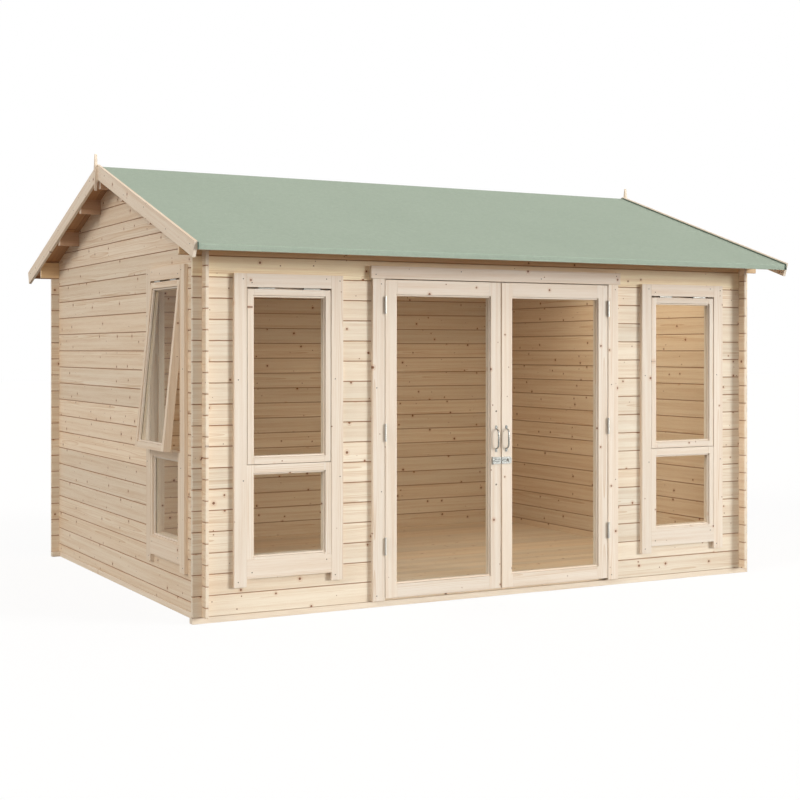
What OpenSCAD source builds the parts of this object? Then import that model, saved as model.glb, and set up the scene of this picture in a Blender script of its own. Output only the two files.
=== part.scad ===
// Log cabin with crossed corner logs, glazed double doors, three windows and a felted apex roof.
// Millimetres. +Z is up, the front faces -Y, and the origin is on the ground at the middle of the plan.

/* [Log walls] */
// Length of the front and back walls over their outer faces
wall_length = 3780; // [3400:10:4600]
// Depth of the side walls over their outer faces
wall_depth = 2930; // [2400:10:3600]
// Height that each log adds to a wall
log_height = 115; // [95:1:140]
// Thickness of a log
log_thick = 19; // [16:1:28]
// Length of a log end past its corner
log_end = 55; // [40:1:90]
// Width of the bevel along each edge of a log
log_bevel = 3.5; // [1:0.5:5]
// Gap left at each seam, where the dry logs stand just apart
seam = 0.4; // [0.2:0.1:0.8]

/* [Base and floor] */
// Height of the bearers under the walls
bearer_height = 33; // [25:1:60]
// Width of the bearers
bearer_width = 45; // [38:1:70]
// Number of joists between the side bearers
joist_count = 4; // [2:1:8]
// Thickness of the floor boards
floor_thick = 11; // [9:1:22]

/* [Roof] */
// Slope of the roof in degrees
roof_pitch = 18.7; // [14:0.1:28]
// Overhang of the roof past the front and back walls
eave_out = 281; // [180:1:340]
// Overhang of the roof past the side walls, to the bargeboards
gable_out = 130; // [90:1:200]
// Thickness of the roof boards
roof_board = 19; // [11:1:22]
// Thickness of the felt
felt_thick = 3; // [2:0.5:4]
// Width of the purlins
purlin_width = 45; // [38:1:60]
// Depth of the purlins
purlin_depth = 86; // [70:1:105]
// Depth of the ridge purlin
ridge_depth = 118; // [100:1:140]
// Height of a bargeboard, square to the slope
barge_height = 88; // [75:1:120]
// Thickness of a bargeboard
barge_thick = 18; // [14:1:24]
// Height that a bargeboard stands above the felt
barge_rise = 12.5; // [4:0.5:20]
// Height of the batten under the boards at each eave
batten_height = 10; // [6:1:40]
// Thickness of the batten at each eave
batten_thick = 22; // [16:1:30]
// Height of the finials
finial_height = 228; // [180:1:280]
// Width of the finials at their middle
finial_width = 36; // [28:1:50]
// Thickness of the finials
finial_thick = 16; // [12:1:20]

/* [Doors] */
// Clear width between the door jambs
doorway_width = 1580; // [1300:5:1760]
// Height of the door leaves
leaf_height = 1832; // [1700:1:2000]
// Thickness of the door leaves
leaf_thick = 44; // [36:1:50]
// Width of the door stiles
leaf_stile = 79; // [60:1:100]
// Width of the bottom door rails
leaf_rail = 87; // [70:1:120]
// Width of the top door rails
leaf_head_rail = 93; // [70:1:120]
// Gap around the door leaves
leaf_gap = 5; // [5:0.5:6]
// Gap between the two leaves
meeting_gap = 8; // [8:0.5:10]
// Thickness of the door jambs and head
jamb_thick = 28; // [22:1:36]
// Depth of the door jambs from the wall's outer face
jamb_depth = 65; // [58:1:90]
// Width of the boards beside the doors
door_trim_width = 76; // [60:1:90]
// Height of the board over the doors
door_cap_height = 73; // [60:1:90]

/* [Windows] */
// Distance from a corner to the middle of a front window
front_window_in = 506; // [480:1:560]
// Distance from the front corner to the middle of the side window
side_window_in = 549; // [500:1:1400]
// Clear width between the window jambs
window_width = 511; // [420:1:560]
// Height of the underside of the window head above the ground
window_head = 1822; // [1700:1:1840]
// Height of the top of the lower fixed light above the ground
transom_top = 847; // [700:1:1000]
// Height of the top of the window's bottom board above the ground
sill_top = 330; // [280:1:500]
// Width of the boards beside and over the windows
window_trim_width = 74; // [50:1:90]
// Height of the board under the windows
window_sill_height = 105; // [80:1:130]
// Thickness of the window jambs and head
window_jamb = 20; // [16:1:28]
// Depth of the window jambs from the wall's outer face
window_jamb_depth = 60; // [54:1:90]
// Width of the stiles and rails of a sash
sash_rail = 45; // [36:1:60]
// Height of the bottom rail of the lower light
light_foot = 20; // [16:1:45]
// Thickness of the sashes
sash_thick = 44; // [34:1:48]
// Opening angle of the side window's upper sash
side_sash_angle = 5.7; // [0:0.1:6.5]

/* [Boards, glass and ironwork] */
// Thickness of the boards around the openings
trim_thick = 23; // [19:1:26]
// Thickness of the glass
glass_thick = 4; // [3:0.5:6]
// Length of a hinge
hinge_length = 100; // [80:1:120]
// Diameter of a hinge's knuckles
knuckle_dia = 12; // [10:0.5:13]
// Length of a pull handle
handle_length = 160; // [130:1:200]
// Reach of a pull handle from the door
handle_reach = 38; // [30:1:50]
// Length of the hasp
hasp_length = 137; // [110:1:150]
// Height of the hasp
hasp_height = 42; // [30:1:50]

/* [Hidden] */
$fn = 32;

pine = "#e3cfae";
pine_trim = "#ecdcc3";
pine_dark = "#c9a878";
felt_green = "#9fb5a0";
steel = "#b9bcbb";
pane = [0.75, 0.85, 0.88, 0.35];

fit = 0.3;                      // clearance where one dry piece seats against another
cut = 1;                        // extra length of a cutting shape past the face that it leaves
half_length = wall_length / 2;
half_depth = wall_depth / 2;
base = bearer_height;
tongue_thick = log_thick / 3;
tongue_height = 6;
floor_top = base + floor_thick;

// Doorway
leaf_bottom = floor_top + leaf_gap;
leaf_top = leaf_bottom + leaf_height;
door_head = leaf_top + leaf_gap;
half_doorway = doorway_width / 2;
doorway_cut = half_doorway + jamb_thick + fit;
doorway_cut_top = door_head + jamb_thick + fit;
leaf_face = -(trim_thick - 2);  // outer face of doors and sashes, counted inwards from the wall face
door_stop = 15;                 // width of the stop that the leaves close against
stop_gap = 5;
threshold_rise = 6;             // height of the threshold above the floor, behind the leaves
door_cap_side = 13;             // length of the cap board past the boards beside the doors
door_cap_rise = 5;              // thickness of the cap board past the other boards

// Courses: the front and back walls start with a whole log, the side walls with half a log
door_courses = ceil((doorway_cut_top - base) / log_height);
courses = door_courses + 1;
wall_top = base + courses * log_height;
gable_base = base + (courses - 0.5) * log_height;

// Roof
slope = tan(roof_pitch);
board_rise = roof_board / cos(roof_pitch);
felt_rise = felt_thick / cos(roof_pitch);
barge_drop = barge_height / cos(roof_pitch);
ridge_under = wall_top + half_depth * slope;
eave_line = half_depth + eave_out;
roof_half = half_length + gable_out;
gable_courses = ceil((ridge_under - gable_base) / log_height);
purlin_lines = [0.3 * half_depth, 0.652 * half_depth];    // from the ridge
barge_past = 2;                 // length of a bargeboard past the felt's fold

// Windows
half_window = window_width / 2;
window_cut = half_window + window_jamb + fit;
window_head_gap = 10;           // room for the top hinges
window_stop = 13;               // width of the stop that the sashes close against
sill_drop = 4;                  // depth of the frame's sill below the top of the bottom board
light_head = sash_rail + 10;    // top rail of the lower light, which the upper sash closes over
sash_gap = 4;
transom_gap = 3;
window_trim_foot = 44;          // length of the side boards past the board under the window
window_raise = log_height / 2;  // the side wall's courses, and so its window, stand half a log higher
glass_depth = 22;               // from the outer face of a leaf or sash to the middle of its glass
glass_groove = 8;               // depth to which a pane goes into its bars
bead_width = 10;                // width of the glazing beads around the panes

// Doors
leaf_width = half_doorway - leaf_gap - meeting_gap / 2;
leaf_middle = meeting_gap / 2 + leaf_width / 2;

// Ironwork
pin_dia = 6;
pin_play = 0.1;                 // by which the bore is wider than the pin
plate_thick = 2;
plate_clear = knuckle_dia / 2 + 1.2;    // from the hinge axis to the start of a plate
hinge_plate_depth = 30;
low_hinge = 300;                // from the foot of a leaf to the middle of its lowest hinge
high_hinge = 146;               // from the top of a leaf to the middle of its highest hinge
hinge_face = -trim_thick - knuckle_dia / 2 - fit;       // hinge axis, inwards from the wall face
hinge_line = half_doorway - leaf_gap / 2;               // hinge axis, sideways from the doorway's middle
hinge_heights = [leaf_bottom + low_hinge, leaf_bottom + 0.52 * leaf_height, leaf_top - high_hinge];
knuckle_part = hinge_length / 3;
window_knuckle = window_head_gap - 0.8;  // diameter
window_hinge_line = 137;
handle_line = 36;               // from the doors' meeting line
handle_middle = 945;            // above the ground
handle_rod = 9;
hasp_middle = 815;              // above the ground
hasp_left = 0.48 * hasp_length; // share of the hasp on the left leaf
hasp_thick = 4;
hasp_slot = hasp_length - hasp_left - 26;   // middle of the staple, from the doors' meeting line
hasp_knuckle = 9;               // diameter
hasp_pin_out = 2;               // length of the knuckle past the plate, each way

// Height of the underside of the roof boards at a distance from the middle of the plan
function under(y) = ridge_under - abs(y) * slope;

// Box between two corners
module block(low, high) {
    translate(low) cube(high - low);
}

// ---- Logs ----------------------------------------------------------------------------------------

// Section of a log of height h with bevelled edges, a tongue on top and a groove below
module log_section(h) {
    t = log_thick / 2;
    low = seam / 2;
    high = h - seam / 2;
    tongue = tongue_thick / 2;
    groove = tongue + fit;
    groove_top = low + tongue_height;
    tongue_top = high + tongue_height - seam - fit;
    polygon([
        [-t, low + log_bevel], [-t + log_bevel, low], [-groove, low], [-groove, groove_top],
        [groove, groove_top], [groove, low], [t - log_bevel, low], [t, low + log_bevel],
        [t, high - log_bevel], [t - log_bevel, high], [tongue, high], [tongue, tongue_top],
        [-tongue, tongue_top], [-tongue, high], [-t + log_bevel, high], [-t, high - log_bevel]
    ]);
}

// Log along X from start to end with its foot at z, its middle plane at Y = 0, and its crossings
// at plus and minus cross. A crossing keeps only the height from low to high above the log's foot.
module log_bar(start, end, z, h, cross, low, high) {
    side = log_thick / 2 + fit;
    difference() {
        translate([start, 0, z]) rotate([90, 0, 90]) linear_extrude(end - start) log_section(h);
        for (end_cross = [-cross, cross]) {
            block([end_cross - side, -log_thick, z - cut], [end_cross + side, log_thick, z + low]);
            block([end_cross - side, -log_thick, z + high],
                [end_cross + side, log_thick, z + h + log_height / 2]);
        }
    }
}

// Log of the front or back wall in course i, lying on the middle plane of that wall
module long_log(i, reach) {
    q = log_height / 4;
    low = q + fit / 2;
    high = 3 * q - fit / 2;
    log_bar(-reach, reach, base + i * log_height, log_height, half_length - log_thick / 2, low, high);
}

// Log of a side wall in course i along X; course 0 is the half log on the bearer
module short_log(i) {
    q = log_height / 4;
    reach = half_depth + log_end;
    cross = half_depth - log_thick / 2;
    if (i == 0)
        log_bar(-reach, reach, base, log_height / 2, cross, 0, q - fit / 2);
    else
        log_bar(-reach, reach, base + (i - 0.5) * log_height, log_height, cross,
            q + fit / 2, 3 * q - fit / 2);
}

// Places what is drawn along X at Y = 0 on the middle plane of a wall
module on_front() { translate([0, -half_depth + log_thick / 2, 0]) children(); }
module on_back() { translate([0, half_depth - log_thick / 2, 0]) children(); }
module on_left() { translate([-half_length + log_thick / 2, 0, 0]) rotate([0, 0, 90]) children(); }
module on_right() { translate([half_length - log_thick / 2, 0, 0]) rotate([0, 0, 90]) children(); }

// Hole for a window whose middle is at x, cut through a wall that lies at Y = 0
module window_hole(x, raise) {
    block([x - window_cut, -log_thick, sill_top - sill_drop - window_jamb - fit + raise],
        [x + window_cut, log_thick, window_head + window_jamb + fit + raise]);
}

// Space under the roof boards, for what is drawn in the building's own frame
module under_roof(length) {
    reach = eave_line + log_height;
    rotate([90, 0, 90]) translate([0, 0, -length / 2]) linear_extrude(length)
        polygon([[-reach, 0], [reach, 0], [reach, under(reach)], [0, ridge_under], [-reach, under(reach)]]);
}

// Logs of the front wall on the side of the doorway that sign names
module front_side_logs(sign) {
    color(pine) on_front() for (i = [0 : door_courses - 2]) difference() {
        long_log(i, half_length + log_end);
        block([-doorway_cut, -log_thick, 0], [doorway_cut, log_thick, wall_top]);
        mirror([sign > 0 ? 1 : 0, 0, 0])
            block([0, -log_thick, 0], [half_length + log_end + cut, log_thick, wall_top]);
        window_hole(sign * (half_length - front_window_in), 0);
    }
}

module front_wall_left_logs() { front_side_logs(-1); }
module front_wall_right_logs() { front_side_logs(1); }

module front_wall_top_log() {
    color(pine) on_front() difference() {
        long_log(door_courses - 1, half_length + log_end);
        block([-doorway_cut, -log_thick, 0], [doorway_cut, log_thick, doorway_cut_top]);
        for (side = [-1, 1]) window_hole(side * (half_length - front_window_in), 0);
    }
}

module back_wall_logs() {
    color(pine) on_back() for (i = [0 : courses - 2]) long_log(i, half_length + log_end);
}

module left_wall_logs() {
    color(pine) on_left() for (i = [0 : courses - 1]) difference() {
        short_log(i);
        window_hole(-half_depth + side_window_in, window_raise);
    }
}

module right_wall_logs() {
    color(pine) on_right() for (i = [0 : courses - 1]) short_log(i);
}

// Top logs of the long walls: they run out to the bargeboards, and their tops follow the slope
module eave_logs() {
    color(pine) intersection() {
        union() {
            on_front() long_log(courses - 1, roof_half);
            on_back() long_log(courses - 1, roof_half);
        }
        under_roof(2 * roof_half);
    }
}

// Purlin from bargeboard to bargeboard at y, grown all round by extra; its top follows the slope
module purlin_bar(y, depth, extra) {
    side = purlin_width / 2 + extra;
    intersection() {
        block([-roof_half, y - side, under(y) - depth - extra],
            [roof_half, y + side, ridge_under + cut]);
        under_roof(2 * roof_half);
    }
}

module ridge_purlin() { color(pine) purlin_bar(0, ridge_depth, 0); }

module purlins() {
    color(pine) for (y = purlin_lines, side = [-1, 1]) purlin_bar(side * y, purlin_depth, 0);
}

// Sockets that the purlins lie in
module purlin_sockets() {
    purlin_socket(0, ridge_depth);
    for (y = purlin_lines, side = [-1, 1]) purlin_socket(side * y, purlin_depth);
}
module purlin_socket(y, depth) {
    side = purlin_width / 2 + fit;
    block([-roof_half, y - side, under(y) - depth - fit], [roof_half, y + side, ridge_under + log_height]);
}

// Logs above the side walls, cut to the roof's slope
module gable_logs() {
    for (i = [courses : courses + gable_courses - 1]) difference() {
        intersection() {
            rotate([0, 0, 90]) short_log(i);
            under_roof(4 * log_thick);
        }
        purlin_sockets();
    }
}

module left_gable_logs() { color(pine) translate([-half_length + log_thick / 2, 0, 0]) gable_logs(); }
module right_gable_logs() { color(pine) translate([half_length - log_thick / 2, 0, 0]) gable_logs(); }

// ---- Base and floor ------------------------------------------------------------------------------

module base_bearers() {
    inner = half_depth - bearer_width;
    color(pine_dark) {
        for (side = [-1, 1]) {
            y = side * (half_depth - bearer_width / 2);
            block([-half_length - log_end, y - bearer_width / 2, 0],
                [half_length + log_end, y + bearer_width / 2, bearer_height]);
            x = side * (half_length - bearer_width / 2);
            block([x - bearer_width / 2, -inner + fit, 0],
                [x + bearer_width / 2, inner - fit, bearer_height]);
        }
        for (i = [1 : joist_count]) {
            x = -half_length + i * wall_length / (joist_count + 1);
            block([x - bearer_width / 2, -inner + fit, 0],
                [x + bearer_width / 2, inner - fit, bearer_height]);
        }
    }
}

// Floor inside the walls, notched around the door jambs
module floor_boards() {
    x = half_length - log_thick - fit;
    y = half_depth - log_thick - fit;
    color(pine_dark) difference() {
        block([-x, -y, base], [x, y, floor_top]);
        for (side = [0, 1]) mirror([side, 0, 0])
            block([half_doorway - door_stop - fit, -half_depth, base - cut],
                [half_doorway + jamb_thick + fit, -half_depth + jamb_depth + fit, floor_top + cut]);
    }
}

// ---- Roof ----------------------------------------------------------------------------------------

// Extrudes an outline in the plane of depth and height along the roof, between the bargeboards
module along_roof() {
    translate([-roof_half, 0, 0]) rotate([90, 0, 90]) linear_extrude(2 * roof_half) children();
}

// Band that follows the slope at the back from y0 to y1, from low to high above the boards' underside
module slope_band(y0, y1, low, high) {
    polygon([[y0, under(y0) + low], [y1, under(y1) + low], [y1, under(y1) + high], [y0, under(y0) + high]]);
}

module roof_boards() { along_roof() slope_band(0, eave_line, 0, board_rise); }

// Felt over the boards, folded down over their ends and the batten
module roof_felt() {
    fold_top = under(eave_line) + board_rise + felt_rise;
    fold_foot = under(eave_line) - batten_height;
    along_roof() {
        slope_band(0, eave_line, board_rise, board_rise + felt_rise);
        polygon([
            [eave_line, fold_foot], [eave_line + felt_thick, fold_foot],
            [eave_line + felt_thick, fold_top - felt_thick * slope], [eave_line, fold_top]
        ]);
    }
}

module back_roof_boards() { color(pine) roof_boards(); }
module front_roof_boards() { color(pine) mirror([0, 1, 0]) roof_boards(); }
module back_roof_felt() { color(felt_green) roof_felt(); }
module front_roof_felt() { color(felt_green) mirror([0, 1, 0]) roof_felt(); }

module eave_battens() {
    inner = eave_line - batten_thick;
    foot = under(eave_line) - batten_height;
    color(pine) for (side = [0, 1]) mirror([0, side, 0]) along_roof()
        polygon([[inner, foot], [eave_line, foot], [eave_line, under(eave_line)], [inner, under(inner)]]);
}

// Pair of bargeboards that meet over the ridge and are cut square at the eaves, on the right-hand gable
module bargeboards() {
    top = board_rise + felt_rise + barge_rise;
    end = eave_line + felt_thick + barge_past;
    foot = end - barge_height * sin(roof_pitch);
    color(pine_trim) for (side = [0, 1]) mirror([0, side, 0])
        translate([roof_half, 0, 0]) rotate([90, 0, 90]) linear_extrude(barge_thick)
            polygon([
                [fit, under(fit) + top - barge_drop], [foot, under(foot) + top - barge_drop],
                [end, under(end) + top], [fit, under(fit) + top]
            ]);
}

module right_bargeboards() { bargeboards(); }
module left_bargeboards() { mirror([1, 0, 0]) bargeboards(); }

// Spear-shaped finials on the outer faces of the bargeboards
module finials() {
    barge_apex = ridge_under + board_rise + felt_rise + barge_rise;
    middle = barge_apex - 0.22 * finial_height;
    tip = 5;
    waist = 14;
    up = finial_height / 2;
    color(pine_trim) for (side = [0, 1]) mirror([side, 0, 0])
        translate([roof_half + barge_thick, 0, middle]) rotate([90, 0, 90]) linear_extrude(finial_thick)
            polygon([
                [-tip / 2, -up], [tip / 2, -up], [finial_width / 2, -waist], [finial_width / 2, waist],
                [tip / 2, up], [-tip / 2, up], [-finial_width / 2, waist], [-finial_width / 2, -waist]
            ]);
}

// ---- Windows -------------------------------------------------------------------------------------
// A window is drawn with its middle at X = 0, the wall's outer face at Y = 0 and the room at +Y.

module at_left_front_window() { translate([-half_length + front_window_in, -half_depth, 0]) children(); }
module at_right_front_window() { translate([half_length - front_window_in, -half_depth, 0]) children(); }
module at_side_window() {
    translate([-half_length, -half_depth + side_window_in, window_raise]) rotate([0, 0, -90]) children();
}

module window_trim() {
    outer = half_window + window_trim_width;
    inner = half_window - fit;
    top = window_head + window_trim_width;
    foot = sill_top - window_sill_height;
    color(pine_trim) {
        for (side = [0, 1]) mirror([side, 0, 0])
            block([half_window, -trim_thick, foot - window_trim_foot], [outer, 0, top]);
        block([-inner, -trim_thick, window_head], [inner, 0, top]);
        block([-inner, -trim_thick, foot], [inner, 0, sill_top]);
    }
}

// Jambs, head and sill of the window's frame, with the stop that the sashes close against
module window_frame() {
    foot = sill_top - sill_drop - window_jamb;
    top = window_head + window_jamb;
    inner = half_window - fit;
    outer = half_window + window_jamb;
    rest = leaf_face + sash_thick + transom_gap;
    stop = window_stop;
    color(pine_trim) {
        for (side = [0, 1]) mirror([side, 0, 0]) translate([0, 0, foot]) linear_extrude(top - foot)
            polygon([
                [half_window, 0], [outer, 0], [outer, window_jamb_depth],
                [half_window - stop, window_jamb_depth], [half_window - stop, rest], [half_window, rest]
            ]);
        block([-inner, 0, window_head], [inner, rest - fit, top]);
        block([-inner + stop, rest, window_head - stop], [inner - stop, window_jamb_depth, top]);
        block([-inner, 0, foot], [inner, rest - fit, sill_top - sill_drop]);
        block([-inner + stop, rest, foot], [inner - stop, window_jamb_depth, sill_top + light_foot]);
    }
}

// Glazed frame of four bars from -half to half and from foot to top, around one pane. The widths of
// the bars count the rebate for the glazing beads, which is open to the outside.
module glazed_bars(half, foot, top, thick, stile, foot_rail, top_rail) {
    joint = half - stile - fit;
    bead_x = half - stile + bead_width;
    difference() {
        union() {
            for (side = [0, 1]) mirror([side, 0, 0])
                block([half - stile, leaf_face, foot], [half, leaf_face + thick, top]);
            block([-joint, leaf_face, foot], [joint, leaf_face + thick, foot + foot_rail]);
            block([-joint, leaf_face, top - top_rail], [joint, leaf_face + thick, top]);
        }
        pane_block(half, foot, top, stile, foot_rail, top_rail, fit);
        block([-bead_x, leaf_face - cut, foot + foot_rail - bead_width],
            [bead_x, leaf_face + glass_depth, top - top_rail + bead_width]);
    }
}

// Pane that sits in the bars' rebates, grown all round by extra
module pane_block(half, foot, top, stile, foot_rail, top_rail, extra) {
    x = half - stile + glass_groove + extra;
    y = leaf_face + glass_depth;
    grow = glass_thick / 2 + extra;
    block([-x, y - grow, foot + foot_rail - glass_groove - extra],
        [x, y + grow, top - top_rail + glass_groove + extra]);
}

// Turns the upper sash outwards about its top hinges
module swing_sash(angle) {
    axis = [0, leaf_face + window_knuckle / 2, window_head - window_head_gap / 2];
    translate(axis) rotate([-angle, 0, 0]) translate(-axis) children();
}

module upper_sash() {
    glazed_bars(half_window - sash_gap, transom_top + transom_gap, window_head - window_head_gap,
        sash_thick, sash_rail - sash_gap, sash_rail, sash_rail);
}
module upper_pane() {
    pane_block(half_window - sash_gap, transom_top + transom_gap, window_head - window_head_gap,
        sash_rail - sash_gap, sash_rail, sash_rail, 0);
}
module lower_light() {
    glazed_bars(half_window - 2 * fit, sill_top + fit, transom_top,
        sash_thick, sash_rail, light_foot, light_head);
}
module lower_pane() {
    pane_block(half_window - 2 * fit, sill_top + fit, transom_top, sash_rail, light_foot, light_head, 0);
}

module window_sashes(angle) {
    color(pine_trim) {
        swing_sash(angle) upper_sash();
        lower_light();
    }
}

module window_panes(angle) {
    swing_sash(angle) upper_pane();
    lower_pane();
}

// Knuckles of the two hinges in the gap over the upper sash
module window_knuckles() {
    for (side = [-1, 1])
        translate([side * window_hinge_line - hinge_length / 2, leaf_face + window_knuckle / 2,
            window_head - window_head_gap / 2])
            rotate([0, 90, 0]) cylinder(h = hinge_length, d = window_knuckle);
}

module left_front_window_trim() { at_left_front_window() window_trim(); }
module left_front_window_frame() { at_left_front_window() window_frame(); }
module left_front_window_sashes() { at_left_front_window() window_sashes(0); }
module right_front_window_trim() { at_right_front_window() window_trim(); }
module right_front_window_frame() { at_right_front_window() window_frame(); }
module right_front_window_sashes() { at_right_front_window() window_sashes(0); }
module side_window_trim() { at_side_window() window_trim(); }
module side_window_frame() { at_side_window() window_frame(); }
module side_window_sashes() { at_side_window() window_sashes(side_sash_angle); }

module window_glass() {
    color(pane) {
        at_left_front_window() window_panes(0);
        at_right_front_window() window_panes(0);
        at_side_window() window_panes(side_sash_angle);
    }
}

module window_hinges() {
    color(steel) {
        at_left_front_window() window_knuckles();
        at_right_front_window() window_knuckles();
        at_side_window() window_knuckles();
    }
}

// ---- Doors ---------------------------------------------------------------------------------------
// The doorway is drawn with its middle at X = 0, the wall's outer face at Y = 0 and the room at +Y.

module at_doorway() { translate([0, -half_depth, 0]) children(); }

// Jambs, head and threshold, with the stop that the leaves close against
module door_frame() {
    rest = leaf_face + leaf_thick + stop_gap;
    inner = half_doorway - fit;
    top = door_head + jamb_thick;
    color(pine_trim) at_doorway() {
        for (side = [0, 1]) mirror([side, 0, 0]) translate([0, 0, base]) linear_extrude(top - base)
            polygon([
                [half_doorway, 0], [half_doorway + jamb_thick, 0], [half_doorway + jamb_thick, jamb_depth],
                [half_doorway - door_stop, jamb_depth], [half_doorway - door_stop, rest], [half_doorway, rest]
            ]);
        block([-inner, 0, door_head], [inner, rest - fit, top]);
        block([-inner + door_stop, rest, door_head - door_stop], [inner - door_stop, jamb_depth, top]);
        block([-inner + door_stop, rest, floor_top + fit],
            [inner - door_stop, jamb_depth, floor_top + threshold_rise]);
    }
}

module door_trim() {
    outer = half_doorway + door_trim_width;
    cap = outer + door_cap_side;
    color(pine_trim) at_doorway() {
        for (side = [0, 1]) mirror([side, 0, 0])
            block([half_doorway, -trim_thick, base + leaf_gap], [outer, 0, door_head]);
        block([-cap, -trim_thick - door_cap_rise, door_head + fit], [cap, 0, door_head + door_cap_height]);
    }
}

// Draws a leaf's piece, given for the right-hand leaf, on the side that sign names
module leaf_side(sign) { at_doorway() mirror([sign < 0 ? 1 : 0, 0, 0]) children(); }

module door_leaf() {
    color(pine_trim) translate([leaf_middle, 0, 0])
        glazed_bars(leaf_width / 2, leaf_bottom, leaf_top, leaf_thick, leaf_stile, leaf_rail,
            leaf_head_rail);
}
module door_pane() {
    color(pane) translate([leaf_middle, 0, 0])
        pane_block(leaf_width / 2, leaf_bottom, leaf_top, leaf_stile, leaf_rail, leaf_head_rail, 0);
}

// One hinge part: knuckles in the given thirds of the hinge, and the plate that lies on the side
// face at edge. The plate keeps clear of the other part's knuckles.
module hinge_part(thirds, edge, inwards) {
    plate_low = inwards > 0 ? edge : edge - plate_thick;
    translate([hinge_line, hinge_face, 0]) {
        block([plate_low - hinge_line, plate_clear, -hinge_length / 2],
            [plate_low - hinge_line + plate_thick, plate_clear + hinge_plate_depth, hinge_length / 2]);
        for (third = thirds) {
            foot = (third - 1.5) * knuckle_part + fit;
            top = (third - 0.5) * knuckle_part - fit;
            translate([0, 0, foot]) cylinder(h = top - foot, d = knuckle_dia);
            block([plate_low - hinge_line, 0, foot],
                [plate_low - hinge_line + plate_thick, plate_clear, top]);
        }
    }
}

// Fixed half of a hinge with its pin
module hinge_fixed() {
    hinge_part([0, 2], half_doorway, -1);
    translate([hinge_line, hinge_face, -hinge_length / 2]) cylinder(h = hinge_length, d = pin_dia);
}

// Moving half of a hinge, bored for the pin
module hinge_moving() {
    difference() {
        hinge_part([1], half_doorway - leaf_gap, 1);
        translate([hinge_line, hinge_face, -hinge_length / 2])
            cylinder(h = hinge_length, d = pin_dia + pin_play);
    }
}

module door_hinge_pins() {
    color(steel) for (sign = [-1, 1], z = hinge_heights) leaf_side(sign) translate([0, 0, z]) hinge_fixed();
}
module leaf_hinges() { color(steel) for (z = hinge_heights) translate([0, 0, z]) hinge_moving(); }

// Bow handle: two feet on the leaf and a rod that stands off it
module door_handle() {
    foot = 22;
    foot_thick = 3;
    half_foot = handle_rod / 2 + 3;
    rise = handle_length / 2 - foot / 2;
    bow = handle_length / 2 - foot;
    half_rod = handle_rod / 2;
    color(steel) translate([handle_line, leaf_face, handle_middle]) union() {
        for (side = [-1, 1]) translate([0, 0, side * rise]) {
            block([-half_foot, -foot_thick, -foot / 2], [half_foot, 0, foot / 2]);
        }
        for (side = [-1, 1])
            block([-half_rod, -handle_reach, side * bow - half_rod], [half_rod, 0, side * bow + half_rod]);
        block([-half_rod, -handle_reach, -bow], [half_rod, -handle_reach + handle_rod, bow]);
    }
}

// Plate of the hasp on the right-hand leaf, with its staple
module hasp_right() {
    start = meeting_gap / 2;
    end = hasp_length - hasp_left;
    half = hasp_height / 2;
    taper = end - 12;
    tip = half - 7;
    slot = [6, 20];
    staple = [4, 16];
    staple_reach = 14;
    color(steel) translate([0, leaf_face, hasp_middle]) rotate([90, 0, 0]) {
        linear_extrude(hasp_thick) difference() {
            polygon([[start, -half], [taper, -half], [end, -tip], [end, tip], [taper, half], [start, half]]);
            translate([hasp_slot, 0]) square(slot, center = true);
        }
        translate([hasp_slot, 0, 0]) linear_extrude(staple_reach) square(staple, center = true);
    }
}

// Plate of the hasp on the left-hand leaf, drawn where it lies, with its knuckle
module hasp_left_plate() {
    start = meeting_gap / 2;
    half = hasp_height / 2;
    color(steel) translate([0, leaf_face, hasp_middle]) {
        block([-hasp_left, -hasp_thick, -half], [-start, 0, half]);
        translate([-hasp_left + hasp_knuckle, -hasp_knuckle / 2, -half - hasp_pin_out])
            cylinder(h = hasp_height + 2 * hasp_pin_out, d = hasp_knuckle);
    }
}

module left_door_leaf() { leaf_side(-1) door_leaf(); }
module left_door_glass() { leaf_side(-1) door_pane(); }
module left_door_hinges() { leaf_side(-1) leaf_hinges(); }
module left_door_handle() { leaf_side(-1) door_handle(); }
module left_door_hasp() { at_doorway() hasp_left_plate(); }
module right_door_leaf() { leaf_side(1) door_leaf(); }
module right_door_glass() { leaf_side(1) door_pane(); }
module right_door_hinges() { leaf_side(1) leaf_hinges(); }
module right_door_handle() { leaf_side(1) door_handle(); }
module right_door_hasp() { at_doorway() hasp_right(); }

base_bearers();
floor_boards();
front_wall_left_logs();
front_wall_right_logs();
front_wall_top_log();
back_wall_logs();
left_wall_logs();
right_wall_logs();
left_gable_logs();
right_gable_logs();
eave_logs();
ridge_purlin();
purlins();
front_roof_boards();
back_roof_boards();
front_roof_felt();
back_roof_felt();
eave_battens();
left_bargeboards();
right_bargeboards();
finials();
left_front_window_trim();
left_front_window_frame();
left_front_window_sashes();
right_front_window_trim();
right_front_window_frame();
right_front_window_sashes();
side_window_trim();
side_window_frame();
side_window_sashes();
window_glass();
window_hinges();
door_frame();
door_trim();
door_hinge_pins();
left_door_leaf();
left_door_glass();
left_door_hinges();
left_door_handle();
left_door_hasp();
right_door_leaf();
right_door_glass();
right_door_hinges();
right_door_handle();
right_door_hasp();
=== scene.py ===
"""Log cabin: finishes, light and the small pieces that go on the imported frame.

Everything is in metres, with +Z up and the front at -Y.
"""

import math

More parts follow.
